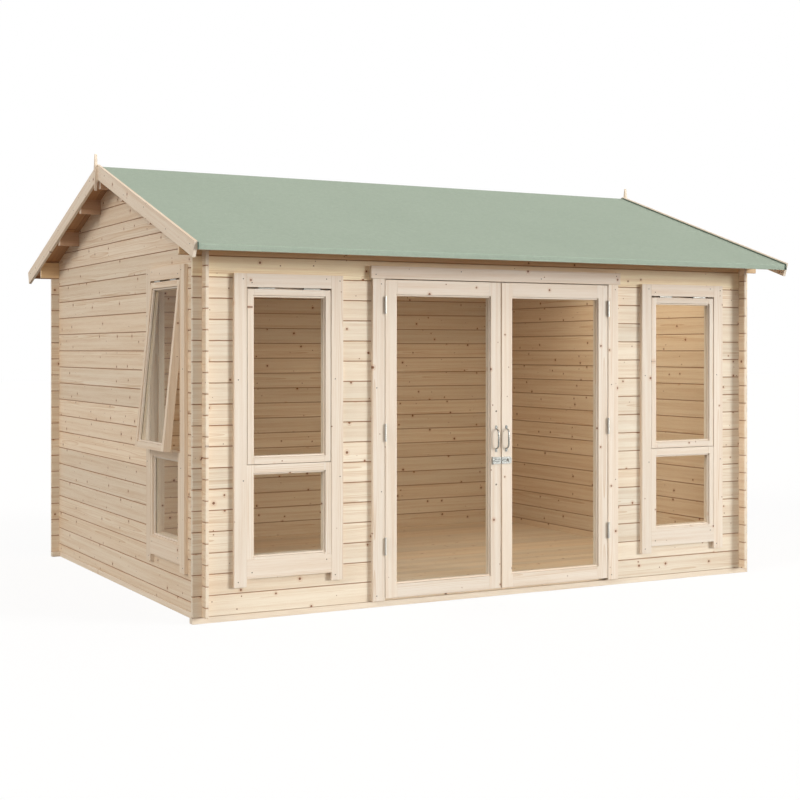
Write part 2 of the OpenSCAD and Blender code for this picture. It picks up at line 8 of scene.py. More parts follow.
import bmesh
import bpy
import numpy as np
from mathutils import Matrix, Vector


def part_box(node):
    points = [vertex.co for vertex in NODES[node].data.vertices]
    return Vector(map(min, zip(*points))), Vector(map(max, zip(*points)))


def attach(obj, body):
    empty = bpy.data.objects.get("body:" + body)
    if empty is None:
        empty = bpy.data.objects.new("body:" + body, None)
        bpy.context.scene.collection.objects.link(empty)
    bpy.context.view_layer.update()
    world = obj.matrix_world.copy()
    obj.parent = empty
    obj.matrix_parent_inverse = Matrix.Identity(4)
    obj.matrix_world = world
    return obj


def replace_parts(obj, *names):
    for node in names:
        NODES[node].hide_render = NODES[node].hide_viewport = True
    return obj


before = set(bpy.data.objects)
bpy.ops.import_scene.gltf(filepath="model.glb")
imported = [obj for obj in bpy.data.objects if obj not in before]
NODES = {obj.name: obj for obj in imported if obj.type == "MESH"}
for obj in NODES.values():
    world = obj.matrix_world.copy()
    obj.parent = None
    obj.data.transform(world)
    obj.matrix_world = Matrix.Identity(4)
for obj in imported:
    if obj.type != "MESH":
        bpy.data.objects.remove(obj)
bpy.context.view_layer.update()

CABIN, LEFT, RIGHT = "cabin", "left_door", "right_door"
OUT = Vector((0, -1, 0))  # outwards on the front
FIT = 0.0003  # between one dry piece and the next
SOFT_EDGE = 0.0012  # radius of a planed board's worn edges
WELD = 0.00002  # points closer than this become one before edges are rounded

# Seeds of the grain. The panes' beads have theirs in the calls at the end.
NODE_SEED = 100  # the wooden CAD nodes take one each from here on
ROOF_SEED = 300
FLOOR_SEED = 310

# Logs
LOG_HEIGHT = 0.115
LONG_SEAM = 0.033  # height of a seam of the front and back walls, here the top of the bearers
SHORT_SEAM = LONG_SEAM + LOG_HEIGHT / 2  # the side walls start with half a log

# Roof and floor boards
ROOF_BOARD = 0.096  # cover width
FLOOR_BOARD = 0.098
BOARD_GAP = 0.0004
BOARD_BEVEL = 0.003
JAMB_OUT = 0.0283  # the floor goes round the door jambs: out from the doorway's side,
JAMB_IN = 0.0153  # in from it,
JAMB_BACK = 0.0653  # and back from the front wall's face
HALF_DOORWAY = 0.790  # from the middle to the jamb's side of the doorway
HALF_DEPTH = 1.465  # from the middle to the outer face of the front wall

# Felt
FELT_THICK = 0.003
FOLD_RADIUS = 0.007
FOLD_STEPS = 8  # of the outline, round the fold
HEM_WAVE = 1.5  # by which the hem's lower edge waves more than the fold
FOLD_WAVES = ((0.0005, 9.1, 0.0), (0.0004, 23.7, 1.1))  # depth, rate and start of the fold's waves
SLOPE_STEPS = 14  # of the outline, down the slope
FELT_COLUMNS = 120  # along the eave
UPTURN_RISE = 0.006  # of the felt's sides on the bargeboards, above the felt
UPTURN_THICK = 0.005

# Glazing
GLASS_DEPTH = 0.022  # from the outer face of a leaf or sash to the middle of its glass
GLASS_HALF = 0.002
GROOVE = 0.008  # depth to which a pane goes into its bars
BEAD_WIDTH = 0.010
BEAD_BACK = 0.0070  # by which a bead lies behind the outer face
BEAD_GAP = 0.0014  # groove round the beads
BEAD_ROUND = 0.004  # radius of a bead's inner edge
BEAD_STEPS = 4
SQUARE = 0.01  # greatest cosine of an angle that counts as right
FRONT_PANES = -1.4  # panes with a smaller y are in the front wall

# Nails and screws
NAIL_SHAPE = ((-0.0006, 1.0), (0.0004, 1.0), (0.0007, 0.8))  # height, and share of the head's radius
NAIL_HEAD = 0.0031  # radius
NAIL_SPACING = 0.62
NAIL_END = 0.030  # from a board's end to its first nail
NAIL_STAGGER = (-0.18, 0.22)  # off the middle, by turns, in board widths
BARGE_NAILS = 5  # in each bargeboard
BARGE_FIRST = 0.16  # from the ridge to the first of them
BARGE_LAST = 0.07  # from the last of them to the end
BARGE_STAGGER = 0.012
PLUG_HEAD = 0.0050
PLUG_HEIGHTS = (0.671, 1.110)  # above the ground
SCREW_SHAPE = ((-0.0004, 1.0), (0.0006, 0.97), (0.0013, 0.75), (0.0017, 0.3))
HANDLE_SCREW = 0.0034  # radius
HASP_SCREW = 0.0030

# Light, in linear colours
SKY_COLOUR = (1.0, 0.965, 0.92, 1.0)
SKY_LEVEL = 0.58  # at the horizon
SKY_RISE = 0.02  # added overhead
WHITE = (1.0, 1.0, 1.0, 1.0)
FLOOR_HALF = 60.0
FLOOR_DROP = 0.0005  # keeps the floor off the underside of the bearers
FLOOR_BOUNCE = (0.26, 0.255, 0.245, 1.0)  # what the object gets back from the floor
FLOOR_SHOWN = ((0.150, 0.150, 0.150, 1.0), (0.158, 0.158, 0.158, 1.0))
FLOOR_GLOW = 0.87  # lifts what is shown of the floor to white
ROOM_LIGHT = 15.0  # watts under the roof
ROOM_COLOUR = (1.0, 0.885, 0.70)
ROOM_SIZE = 1.7
ROOM_PLACE = (0.9, -0.5, 2.02)

# Camera
EYE = Vector((-4.622, -8.819, 1.478))
EYE_TURN = 28.396  # degrees from straight ahead towards +X
LENS = 64.834  # millimetres
SENSOR = 36.0
CAMERA_SHIFT = (-0.00613, -0.06274)


def srgb(red, green, blue):
    """Linear colour of an 8-bit screen colour."""
    return tuple(
        c / 12.92 if c <= 0.04045 else ((c + 0.055) / 1.055) ** 2.4
        for c in (red / 255, green / 255, blue / 255)
    ) + (1.0,)


# ---- Material nodes ---------------------------------------------------------------------------------


class Graph:
    """The node tree of a material or a world. Inputs are sockets or plain values."""

    def __init__(self, owner):
        owner.use_nodes = True
        self.owner = owner
        self.tree = owner.node_tree
        self.tree.nodes.clear()

    def add(self, kind, inputs=None, **settings):
        node = self.tree.nodes.new("ShaderNode" + kind)
        for key, value in settings.items():
            setattr(node, key, value)
        for key, value in (inputs or {}).items():
            self.feed(node.inputs[key], value)
        return node

    def feed(self, socket, value):
        if isinstance(value, bpy.types.NodeSocket):
            self.tree.links.new(value, socket)
        else:
            socket.default_value = value

    def math(self, operation, a, b=0.0, c=0.0):
        return self.add("Math", {0: a, 1: b, 2: c}, operation=operation).outputs[0]

    def vector(self, operation, a, b=(0.0, 0.0, 0.0)):
        node = self.add("VectorMath", {0: a, 1: b}, operation=operation)
        return node.outputs["Value" if operation in ("LENGTH", "DOT_PRODUCT") else "Vector"]

    def split(self, vector):
        return self.add("SeparateXYZ", {0: vector}).outputs

    def join(self, x, y=0.0, z=0.0):
        return self.add("CombineXYZ", {0: x, 1: y, 2: z}).outputs[0]

    def attribute(self, name):
        return self.add("Attribute", attribute_name=name).outputs["Vector"]

    def place(self):
        return self.add("TexCoord").outputs["Object"]

    def noise(self, vector, detail=2.0, roughness=0.5, scale=1.0):
        inputs = {"Vector": vector, "Scale": scale, "Detail": detail, "Roughness": roughness}
        return self.add("TexNoise", inputs).outputs["Fac"]

    def slope(self, value, start, end, low=0.0, high=1.0):
        """Smooth step from low at start to high at end."""
        inputs = {"Value": value, "From Min": start, "From Max": end, "To Min": low, "To Max": high}
        return self.add("MapRange", inputs, interpolation_type="SMOOTHSTEP").outputs["Result"]

    def sway(self, base, value, amount):
        """base, plus amount times as much as value differs from a half."""
        return self.math("MULTIPLY_ADD", self.math("SUBTRACT", value, 0.5), amount, base)

    def mix(self, share, a, b, blend="MIX"):
        node = self.add("Mix", data_type="RGBA", blend_type=blend)
        for index, value in zip((0, 6, 7), (share, a, b)):
            self.feed(node.inputs[index], value)
        return node.outputs[2]

    def cover(self, colour, share, paint):
        """colour, painted over by share; paint is how strongly at most, and with which colour."""
        return self.mix(self.math("MULTIPLY", share, paint[0]), colour, paint[1])

    def mix_shader(self, share, a, b):
        return self.add("MixShader", {0: share, 1: a.outputs[0], 2: b.outputs[0]})

    def bump(self, height, distance, strength=1.0):
        inputs = {"Height": height, "Distance": distance, "Strength": strength}
        return self.add("Bump", inputs).outputs["Normal"]

    def finish(self, shader, output="OutputMaterial"):
        self.tree.links.new(shader.outputs[0], self.add(output).inputs["Surface"])
        return self.owner

    def principled(self, inputs):
        return self.finish(self.add("BsdfPrincipled", inputs))


def new_graph(name):
    return Graph(bpy.data.materials.new(name))


# ---- Wood -------------------------------------------------------------------------------------------
# Each solid of a wooden piece has its own grain: "grain" holds the place along, across and through the
# board, "board" its tone and where its pith lies, and "grain_axis" the direction of the fibres.

BIG_CELL = (0.30, 0.115)  # length and width of wood that holds one knot or none
BIG_KNOT = (0.0042, 0.0082)  # least and greatest radius
SMALL_CELL = (0.19, 0.075)
SMALL_KNOT = (0.0018, 0.0038)
SMALL_SHARE = 0.5  # of the small cells with a knot, to the big ones
NO_KNOT = 0.00002  # radius where there is none
CORE = (1.05, 0.75)  # where a knot starts and where it is full, in its radii
RIM = (0.55, 0.95)  # dark ring in its edge
HALO = (3.2, 0.9)  # warm wood round it
SMALL_HALO = 1.4  # by which a small knot's is narrower

RING = 0.0042  # width of a year ring
RING_WANDER = 0.016
RING_SWELL = 0.006  # round a knot
LATE_POWER = 3.0  # the higher, the narrower the dark late wood
WANDER_WAVES = (1.3, 7.0)  # to the metre, along and across
FIBRE_WAVES = (9.0, 420.0)
FIBRE_NOISE = (3.0, 0.65)  # detail and roughness
STREAK_WAVES = (1.1, 46.0)
BOARD_SHIFT = 37.0  # spreads the boards' places in the noise
SMALL_SHIFT = 9.3

LATE_SHADE = 0.48
FIBRE_SHADE = 0.65
STREAK_SHADE = 1.0
BASE_SHADE = 0.06
HUE_RATE = 23.0  # makes a board's hue out of its tone
HUE = (0.13, -0.13, -0.42)  # its red, green and blue, in board tones
SEAM_REACH = (0.0045, 0.0015)  # where the painted shade and grime at a seam start and where they are full
SEAM_SHARE = 0.7
END_SLANT = (0.7, 0.9)  # how squarely a face cuts the fibres, from side grain to end grain

# painted shade and grime in the seams between logs, for the shade in their V-grooves
SEAM_SHADE_AND_GRIME = srgb(158, 100, 56)
END_PAINT = (0.5, srgb(238, 226, 208))
HALO_PAINT = (0.30, srgb(196, 140, 88))
CORE_PAINT = (0.93, srgb(128, 76, 44))
RIM_PAINT = (0.6, srgb(66, 36, 22))

LATE_RELIEF = 0.35
CORE_RELIEF = 0.5
FIBRE_RELIEF = 0.5
RELIEF = (0.0005, 0.5)  # depth and strength
ROUGH_SWING = 0.16  # of the roughness, along the fibres

PITH_ACROSS = 0.9  # greatest distance of the pith from the middle, in board widths
PITH_AWAY = (0.012, 0.07)  # least and greatest distance above or below
GRAIN_LENGTH = 60  # of the timber that the boards are cut from


def solids_of(mesh):
    """Places of the vertices, and the solid of each; vertices at one place count as one."""
    places = np.empty(len(mesh.vertices) * 3)
    mesh.vertices.foreach_get("co", places)
    places = places.reshape(-1, 3)
    _, welded = np.unique(np.round(places, 5), axis=0, return_inverse=True)
    welded = welded.ravel()
    edges = np.empty(len(mesh.edges) * 2, int)
    mesh.edges.foreach_get("vertices", edges)
    a, b = welded[edges.reshape(-1, 2)].T
    label = np.arange(welded.max() + 1)
    while True:
        before = label.copy()
        lower = np.minimum(label[a], label[b])
        np.minimum.at(label, a, lower)
        np.minimum.at(label, b, lower)
        label = label[label]
        if (label == before).all():
            return places, np.unique(label[welded], return_inverse=True)[1].ravel()


def grain_basis(points, centre, along):
    """Directions along, across and through a board."""
    if along is None:
        return np.eye(3)[np.argsort(-np.ptp(points, axis=0))]
    first = np.array(along(centre), float)
    first /= np.linalg.norm(first)
    return np.array([first, np.cross((1.0, 0.0, 0.0), first), (1.0, 0.0, 0.0)])


def give_grain(piece, seed, along=None):
    """Writes the three grain attributes. The fibres follow each solid's longest side, or along(centre)."""
    random = np.random.default_rng(seed)
    places, solid = solids_of(piece.data)
    grain, board, axis = np.zeros((3, len(places), 3))
    for number in range(solid.max() + 1):
        mine = solid == number
        points = places[mine]
        centre = (points.max(0) + points.min(0)) / 2
        basis = grain_basis(points, centre, along)
        width = np.ptp(points @ basis[1])
        start = np.array([random.uniform(0, GRAIN_LENGTH), 0, 0])
        pith_across = random.uniform(-PITH_ACROSS, PITH_ACROSS) * width
        pith_through = random.choice([-1, 1]) * random.uniform(*PITH_AWAY)
        grain[mine] = (points - centre) @ basis.T + start
        board[mine] = [random.uniform(-1, 1), pith_across, pith_through]
        axis[mine] = basis[0]
    for name, values in (("grain", grain), ("board", board), ("grain_axis", axis)):
        attribute = piece.data.attributes.new(name, "FLOAT_VECTOR", "POINT")
        attribute.data.foreach_set("vector", values.astype(np.float32).ravel())


def knots(g, along, across, cell, density, radius, shift):
    """Distance to the nearest knot in knot radii, from cells of which a share holds one."""
    row = g.math("ADD", g.math("DIVIDE", across, cell[1]), shift)
    place = g.join(g.math("DIVIDE", along, cell[0]), row)
    cells = g.add("TexVoronoi", {"Vector": place, "Scale": 1.0}, voronoi_dimensions="2D")
    away = g.split(g.vector("SUBTRACT", place, cells.outputs["Position"]))
    away = g.join(g.math("MULTIPLY", away[0], cell[0]), g.math("MULTIPLY", away[1], cell[1]))
    chance = g.split(cells.outputs["Color"])
    size = g.math("MULTIPLY_ADD", chance[1], radius[1] - radius[0], radius[0])
    size = g.math("MULTIPLY", size, g.math("LESS_THAN", chance[0], density))
    return g.math("DIVIDE", g.vector("LENGTH", away), g.math("MAXIMUM", size, NO_KNOT))


def knot_shares(g, along, across, share, shift):
    """How far each point is a knot, the dark rim of one and the warm wood round one."""
    big = knots(g, along, across, BIG_CELL, share, BIG_KNOT, shift)
    shift = g.math("ADD", shift, SMALL_SHIFT)
    small = knots(g, along, across, SMALL_CELL, SMALL_SHARE * share, SMALL_KNOT, shift)
    nearest = g.math("MINIMUM", big, small)
    core = g.slope(nearest, *CORE)
    rim = g.math("MULTIPLY", g.slope(nearest, *RIM), core)
    halo = g.slope(g.math("MINIMUM", big, g.math("MULTIPLY", small, SMALL_HALO)), *HALO)
    return core, rim, halo


def drawn_noise(g, along, across, deep, waves, detail, roughness=0.5):
    """Noise drawn out along the board; deep is its third place."""
    spot = g.join(g.math("MULTIPLY", along, waves[0]), g.math("MULTIPLY", across, waves[1]), deep)
    return g.noise(spot, detail, roughness)


def late_wood(g, along, across, through, pith, halo, shift):
    """How dark each point is from the year rings, which lie round the pith and bend round knots."""
    wander = drawn_noise(g, along, across, shift, WANDER_WAVES, 1.0)
    bend = g.math("MULTIPLY_ADD", wander, RING_WANDER, g.math("MULTIPLY", halo, RING_SWELL))
    away = g.join(g.math("SUBTRACT", across, pith[0]), g.math("SUBTRACT", through, pith[1]))
    radius = g.math("ADD", g.vector("LENGTH", away), bend)
    return g.math("POWER", g.math("FRACT", g.math("DIVIDE", radius, RING)), LATE_POWER)


def tinted(g, colour, board_tone, tone):
    """colour, lighter or darker and warmer or cooler from board to board."""
    hue = g.math("SINE", g.math("MULTIPLY", board_tone, HUE_RATE))
    level = g.math("MULTIPLY_ADD", board_tone, tone, 1.0)
    tint = g.join(*(g.math("MULTIPLY_ADD", hue, part * tone, level) for part in HUE))
    return g.mix(1.0, colour, tint, "MULTIPLY")


def wood(name, pale, dark, knot_share=0.75, tone=0.06, seam=None, roughness=0.62):
    """Planed softwood. seam is the height of one seam between logs, which repeat every log height; towards
    each seam the wood darkens with painted shade and grime.
    """
    g = new_graph(name)
    along, across, through = g.split(g.attribute("grain"))
    board_tone, *pith = g.split(g.attribute("board"))
    shift = g.math("MULTIPLY", board_tone, BOARD_SHIFT)
    core, rim, halo = knot_shares(g, along, across, knot_share, shift)
    late = late_wood(g, along, across, through, pith, halo, shift)
    deep = g.math("MULTIPLY", through, FIBRE_WAVES[1])
    fibre = drawn_noise(g, along, across, deep, FIBRE_WAVES, *FIBRE_NOISE)
    deep = g.math("MULTIPLY_ADD", through, STREAK_WAVES[1], shift)
    streak = drawn_noise(g, along, across, deep, STREAK_WAVES, 2.0)

    shade = g.sway(g.math("MULTIPLY", late, LATE_SHADE), fibre, FIBRE_SHADE)
    shade = g.sway(shade, streak, STREAK_SHADE)
    colour = g.mix(g.math("ADD", shade, BASE_SHADE), pale, dark)
    colour = tinted(g, colour, board_tone, tone)
    for share, layer in ((halo, HALO_PAINT), (core, CORE_PAINT), (rim, RIM_PAINT)):
        colour = g.cover(colour, share, layer)

    place = g.add("TexCoord").outputs
    end = g.vector("DOT_PRODUCT", place["Normal"], g.attribute("grain_axis"))
    colour = g.cover(colour, g.slope(g.math("ABSOLUTE", end), *END_SLANT), END_PAINT)
    # Painted shade and grime: darker towards each seam between logs, for the shade in its V-groove.
    if seam is not None:
        height = g.math("DIVIDE", g.math("SUBTRACT", g.split(place["Object"])[2], seam), LOG_HEIGHT)
        off = g.math("MULTIPLY", g.math("PINGPONG", height, 0.5), LOG_HEIGHT)
        colour = g.mix(g.slope(off, *SEAM_REACH, 0.0, SEAM_SHARE), colour, SEAM_SHADE_AND_GRIME)

    relief = g.math("MULTIPLY_ADD", late, LATE_RELIEF, g.math("MULTIPLY", core, CORE_RELIEF))
    relief = g.math("MULTIPLY_ADD", fibre, FIBRE_RELIEF, relief)
    return g.principled(
        {
            "Base Color": colour,
            "Roughness": g.math("MULTIPLY_ADD", fibre, ROUGH_SWING, roughness - ROUGH_SWING / 2),
            "Specular IOR Level": 0.32,
            "Normal": g.bump(relief, *RELIEF),
        }
    )


# ---- Other materials --------------------------------------------------------------------------------

# A noise is given by its detail, roughness and scale; scales are to the metre.
GRANULES = 520.0
FELT_MOTTLE = (((3.0, 0.6, 34.0), 0.34), ((2.0, 0.5, 1.6), 0.16))  # noises, and how much each counts
GRANULE_TONE = 0.30
SPECKS = (2.0, 0.6, 420.0)
FLAKES = 260.0
FLAKE_SHARE = 0.3
WEAR = (4.0, 0.6, 90.0)
WEAR_SHARE = 0.7
SMEARS = (2.0, 0.5, 5.0)
FLOOR_NOISE = (3.0, 0.5, 14.0)
GLASS_IOR = 1.45
GLASS_CLEAR = (0.972, 0.984, 0.976, 1.0)
GLASS_MIRROR = (0.93, 0.97, 0.95, 1.0)
PANE_MIRROR = 0.3  # of what plain glass would mirror, so that the inside shows


def mineral_felt():
    """Green roofing felt: small stone granules, pressed into bitumen."""
    g = new_graph("mineral_felt")
    place = g.place()
    granules = g.add("TexVoronoi", {"Vector": place, "Scale": GRANULES})
    grain = g.split(granules.outputs["Color"])[0]
    shade = g.sway(0.5, grain, GRANULE_TONE)
    for mottle, amount in FELT_MOTTLE:
        shade = g.sway(shade, g.noise(place, *mottle), amount)
    height = g.math("SUBTRACT", 1.0, granules.outputs["Distance"])
    return g.principled(
        {
            "Base Color": g.mix(shade, srgb(138, 153, 138), srgb(184, 197, 181)),
            "Roughness": g.math("MULTIPLY_ADD", grain, 0.12, 0.82),
            "Specular IOR Level": 0.25,
            "Normal": g.bump(height, 0.0009, 0.6),
        }
    )


def bitumen_and_painted_shade():
    """Dark green coating of the felt's turned up sides, with a few granules left on it; its darkness is
    partly the coating's own and partly painted shade, for the shade in the corner against the bargeboards.
    """
    g = new_graph("bitumen_and_painted_shade")
    specks = g.slope(g.noise(g.place(), *SPECKS), 0.50, 0.68)
    return g.principled(
        {
            "Base Color": g.mix(specks, srgb(58, 78, 68), srgb(112, 130, 114)),
            "Roughness": g.math("MULTIPLY_ADD", specks, 0.3, 0.55),
            "Normal": g.bump(specks, 0.0006, 0.5),
        }
    )


def galvanised(name, pale, dark, roughness):
    """Zinc-coated steel with the faint flakes of the coating and a little dull wear."""
    g = new_graph(name)
    place = g.place()
    flakes = g.split(g.add("TexVoronoi", {"Vector": place, "Scale": FLAKES}).outputs["Color"])[0]
    wear = g.noise(place, *WEAR)
    share = g.math("MULTIPLY_ADD", wear, WEAR_SHARE, g.math("MULTIPLY", flakes, FLAKE_SHARE))
    return g.principled(
        {
            "Base Color": g.mix(share, dark, pale),
            "Metallic": 1.0,
            "Roughness": g.math("MULTIPLY_ADD", wear, 0.2, roughness - 0.1),
            "Normal": g.bump(wear, 0.0002, 0.3),
        }
    )


def clear_glass():
    """A clear pane: it lets light straight through and mirrors a little, more so at a slant."""
    g = new_graph("clear_glass")
    smear = g.noise(g.place(), *SMEARS)
    mirror = {
        "Base Color": GLASS_MIRROR,
        "Metallic": 1.0,
        "Roughness": g.math("MULTIPLY_ADD", smear, 0.02, 0.01),
    }
    mirror = g.add("BsdfPrincipled", mirror)
    through = g.add("BsdfTransparent", {"Color": GLASS_CLEAR})
    outer = g.math("SUBTRACT", 1.0, g.add("NewGeometry").outputs["Backfacing"])
    slant = g.add("Fresnel", {"IOR": GLASS_IOR}).outputs[0]
    share = g.math("MULTIPLY", slant, g.math("MULTIPLY", outer, PANE_MIRROR))
    return g.finish(g.mix_shader(share, through, mirror))


def seen(g):
    """1 for rays that show the surroundings: from the camera, off gloss or through glass."""
    ray = g.add("LightPath").outputs
    indirect = g.math("MAXIMUM", ray["Is Glossy Ray"], ray["Is Transmission Ray"])
    return g.math("MAXIMUM", ray["Is Camera Ray"], indirect)


def studio_floor():
    """Pale floor that reads as white and keeps the object's soft shadow."""
    g = new_graph("studio_floor")
    fine = g.noise(g.place(), *FLOOR_NOISE)
    plain = g.add("BsdfDiffuse", {"Color": FLOOR_BOUNCE})
    shown = g.add("BsdfDiffuse", {"Color": g.mix(fine, *FLOOR_SHOWN)})
    glow = g.add("Emission", {"Color": WHITE, "Strength": FLOOR_GLOW})
    white = g.add("AddShader", {0: shown.outputs[0], 1: glow.outputs[0]})
    return g.finish(g.mix_shader(seen(g), plain, white))


LOGS_LONG = wood("spruce_logs_long", srgb(239, 226, 206), srgb(200, 160, 116), seam=LONG_SEAM)
# Painted light: a paler, warmer copy of the logs' wood for the top log, for the warm bounce light in the
# eave's shade.
TOP_LOG_PAINTED_LIGHT = wood("spruce_top_log_painted_light", srgb(249, 232, 198), srgb(206, 162, 110), seam=LONG_SEAM)
LOGS_SHORT = wood("spruce_logs_short", srgb(242, 224, 200), srgb(202, 159, 112), seam=SHORT_SEAM)
GABLE = wood("spruce_gable_logs", srgb(246, 228, 205), srgb(206, 163, 117), seam=SHORT_SEAM)
# Painted light: a warmer copy of the logs' wood for the eave logs, for the warm bounce light in the eave's
# shade.
EAVE_PAINTED_LIGHT = wood("spruce_eave_logs_painted_light", srgb(247, 216, 172), srgb(200, 152, 104), seam=LONG_SEAM)
JOINERY = wood("spruce_joinery", srgb(238, 225, 210), srgb(210, 178, 143), 0.35, 0.035)
# Painted light: a warmer copy of the joinery's wood for the side window, for warm light in the side wall's
# shade.
SIDE_JOINERY_PAINTED_LIGHT = wood("spruce_side_joinery_painted_light", srgb(241, 224, 203), srgb(208, 171, 131), 0.4, 0.035)
BARGE = wood("spruce_bargeboards", srgb(240, 226, 208), srgb(204, 165, 126), 0.5, 0.04)
BEARERS = wood("spruce_bearers", srgb(247, 233, 214), srgb(209, 173, 134), 0.5, 0.05, roughness=0.75)
# Painted shade: a darker, browner copy of the wood for the roof timbers, for the deep shade under the roof.
TIMBER_PAINTED_SHADE = wood("spruce_roof_timber_painted_shade", srgb(208, 172, 142), srgb(158, 108, 72), 0.6, 0.07)
# Painted shade: a darker, browner copy of the wood for the roof boards, for the deep shade under the roof.
ROOFING_PAINTED_SHADE = wood("spruce_roof_boards_painted_shade", srgb(190, 142, 100), srgb(138, 88, 54), 0.6, 0.08)
FLOORING = wood("spruce_floor", srgb(243, 228, 206), srgb(210, 176, 140), 0.5, 0.07, roughness=0.55)
FELT = mineral_felt()
ZINC = galvanised("galvanised_steel", srgb(208, 205, 198), srgb(140, 137, 130), 0.42)
BRIGHT = galvanised("bright_zinc", srgb(204, 204, 199), srgb(120, 120, 114), 0.26)
NAIL = galvanised("nail_heads", srgb(92, 72, 60), srgb(48, 36, 30), 0.5)
HANDLE = galvanised("handle_steel", srgb(186, 186, 180), srgb(92, 92, 88), 0.24)
# Partly painted shade: the dark of the felt's turned up sides, for the shade against the bargeboards.
BITUMEN_AND_PAINTED_SHADE = bitumen_and_painted_shade()
GLASS = clear_glass()


# ---- Mesh helpers -----------------------------------------------------------------------------------


def link(name, data):
    """New object in the scene."""
    made = bpy.data.objects.new(name, data)
    bpy.context.scene.collection.objects.link(made)
    return made


def paint(piece, material):
    piece.data.materials.clear()
    piece.data.materials.append(material)


def round_edges(piece, width=SOFT_EDGE, angle=32):
    """Rounds the edges between faces that meet at more than angle degrees."""
    piece.modifiers.new("weld", "WELD").merge_threshold = WELD
    bevel = piece.modifiers.new("worn_edges", "BEVEL")
    bevel.limit_method = "ANGLE"
    bevel.angle_limit = math.radians(angle)
    bevel.width = width
    bevel.segments = 2


def new_piece(name, parts, body, material, smooth=None):
    """Piece made of parts, smooth across edges under smooth degrees where that is given."""
    mesh = bpy.data.meshes.new(name)
    mesh.from_pydata(parts.points, [], parts.faces)
    bm = bmesh.new()
    bm.from_mesh(mesh)
    bmesh.ops.recalc_face_normals(bm, faces=bm.faces)
    bm.to_mesh(mesh)
    bm.free()
    mesh.polygons.foreach_set("use_smooth", [smooth is not None] * len(mesh.polygons))
    if smooth is not None:
        mesh.set_sharp_from_angle(angle=math.radians(smooth))
    piece = link(name, mesh)
    paint(piece, material)
    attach(piece, body)
    return piece


def angles(count):
    """Angles evenly spaced round a circle."""
    return [2 * math.pi * i / count for i in range(count)]


class Parts:
    """Gathers the points and faces of several closed shapes for one piece."""

    def __init__(self):
        self.points = []
        self.faces = []

    def add(self, points, faces):
        start = len(self.points)
        self.points += [tuple(p) for p in points]
        self.faces += [tuple(start + i for i in face) for face in faces]

    def rings(self, rings):
        """Skin over rings of equally many points, with both ends capped."""
        count = len(rings[0])
        last = (len(rings) - 1) * count
        faces = []
        for low in range(0, last, count):
            high = low + count
            for j in range(count):
                k = (j + 1) % count
                faces.append((low + j, low + k, high + k, high + j))
        faces.append(tuple(range(count))[::-1])
        faces.append(tuple(range(last, last + count)))
        self.add([p for ring in rings for p in ring], faces)

    def lathe(self, place, axis, profile, count=20):
        """Turned shape: profile holds (distance along axis, radius) pairs."""
        axis = Vector(axis).normalized()
        side = axis.orthogonal().normalized()
        up = axis.cross(side)
        turns = angles(count)
        rings = []
        for out, radius in profile:
            middle = Vector(place) + axis * out
            rings.append([middle + (side * math.cos(t) + up * math.sin(t)) * radius for t in turns])
        self.rings(rings)

    def plate(self, face, outline, thickness, holes=()):
        """Flat plate of the given outline; face(a, b, out) gives the place of a point on it."""
        bm = bmesh.new()
        for loop in (outline, *holes):
            corners = [bm.verts.new((a, b, 0)) for a, b in loop]
            for i, corner in enumerate(corners):
                bm.edges.new((corner, corners[i - 1]))
        bmesh.ops.triangle_fill(bm, use_beauty=True, use_dissolve=False, edges=bm.edges[:])
        made = bmesh.ops.extrude_face_region(bm, geom=bm.faces[:])["geom"]
        top = [v for v in made if isinstance(v, bmesh.types.BMVert)]
        bmesh.ops.translate(bm, vec=(0, 0, thickness), verts=top)
        bm.verts.index_update()
        faces = sorted([v.index for v in f.verts] for f in bm.faces)  # they come in no fixed order
        self.add([face(*v.co) for v in bm.verts], faces)
        bm.free()

    def head(self, place, out, shape, radius, count=12):
        """Head of a nail or screw: shape holds (height, share of the radius) pairs."""
        self.lathe(place, out, [(height, radius * share) for height, share in shape], count)

    def screw(self, place, radius):
        """Domed screw head on the front."""
        self.head(place, OUT, SCREW_SHAPE, radius, 14)

    def tube(self, path, radii, count=12):
        """Round bar along a path that lies in a plane square to X."""
        side = Vector((1, 0, 0))
        turns = angles(count)
        rings = []
        for i, point in enumerate(path):
            ahead = (path[min(i + 1, len(path) - 1)] - path[max(i - 1, 0)]).normalized()
            up = side.cross(ahead)
            rings.append([point + (side * math.cos(t) + up * math.sin(t)) * radii[i] for t in turns])
        self.rings(rings)


def box_of(node):
    low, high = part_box(node)
    return Vector(low), Vector(high)


# ---- Finishes of the CAD nodes ----------------------------------------------------------------------


def down_the_slope(centre):
    side = -1 if centre[1] < 0 else 1
    return (0, side * math.cos(ROOF_ANGLE), -math.sin(ROOF_ANGLE))


boards_low, boards_high = box_of("back_roof_boards")
RIDGE_UNDER = box_of("ridge_purlin")[1].z
ROOF_ANGLE = math.atan((RIDGE_UNDER - boards_low.z) / boards_high.y)
SLOPE = math.tan(ROOF_ANGLE)

